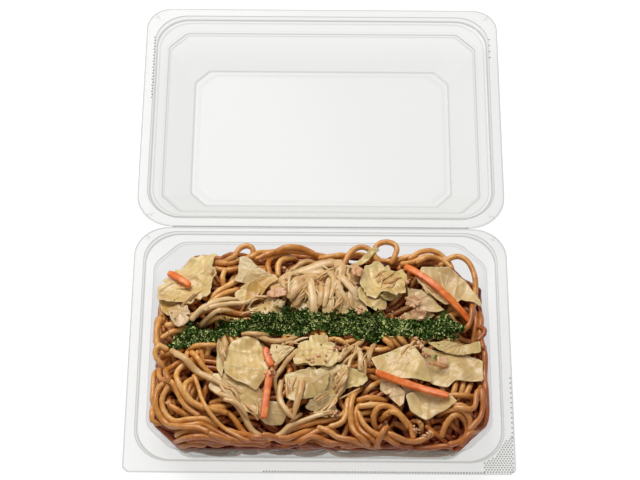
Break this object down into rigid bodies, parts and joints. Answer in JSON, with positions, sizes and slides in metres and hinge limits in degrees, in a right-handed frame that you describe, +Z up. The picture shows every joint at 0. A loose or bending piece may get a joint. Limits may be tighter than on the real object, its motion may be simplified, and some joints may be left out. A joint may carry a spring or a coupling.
{
  "type": "yakisoba in a clear hinged food pack",
  "caption": "Fried noodles with cabbage, bean sprouts, carrot strips and a band of green seaweed flakes, heaped in a clear hinged food pack whose lid lies open.",
  "frame": {"origin": "under the middle of the tray, on the surface that the pack stands on", "axes": "+X to the right along the crease, +Y from the tray's front edge towards the lid, +Z up"},
  "size_m": [0.2, 0.2956, 0.0377],
  "materials": {
    "clear_sheet": "clear thermoformed polystyrene sheet, glossy",
    "noodle": "cooked noodle with brown sauce, moist satin",
    "cabbage": "cooked cabbage, cream to pale green, moist",
    "carrot": "cooked carrot, moist satin",
    "bean_sprout": "cooked bean sprout, translucent cream",
    "seaweed": "dried green seaweed flakes, matte"
  },
  "bodies": {
    "tray": {"tray": "clear_sheet", "noodles": "noodle", "cabbage_01": "cabbage", "cabbage_02": "cabbage", "cabbage_03": "cabbage", "cabbage_04": "cabbage", "cabbage_05": "cabbage", "cabbage_06": "cabbage", "cabbage_07": "cabbage", "cabbage_08": "cabbage", "cabbage_09": "cabbage", "cabbage_10": "cabbage", "cabbage_11": "cabbage", "cabbage_12": "cabbage", "cabbage_13": "cabbage", "cabbage_14": "cabbage", "cabbage_15": "cabbage", "cabbage_16": "cabbage", "carrot_01": "carrot", "carrot_02": "carrot", "carrot_03": "carrot", "carrot_04": "carrot", "carrot_05": "carrot", "bean_sprout_01": "bean_sprout", "bean_sprout_02": "bean_sprout", "bean_sprout_03": "bean_sprout", "bean_sprout_heap": "bean_sprout", "seaweed_band": "seaweed"},
    "lid": {"lid": "clear_sheet"}
  },
  "joints": [
    {"name": "lid_hinge", "type": "hinge", "parent": "tray", "child": "lid", "pos_m": [0, 0.0743, 0.02415], "axis": [1, 0, 0], "range_deg": [0, 180]}
  ]
}
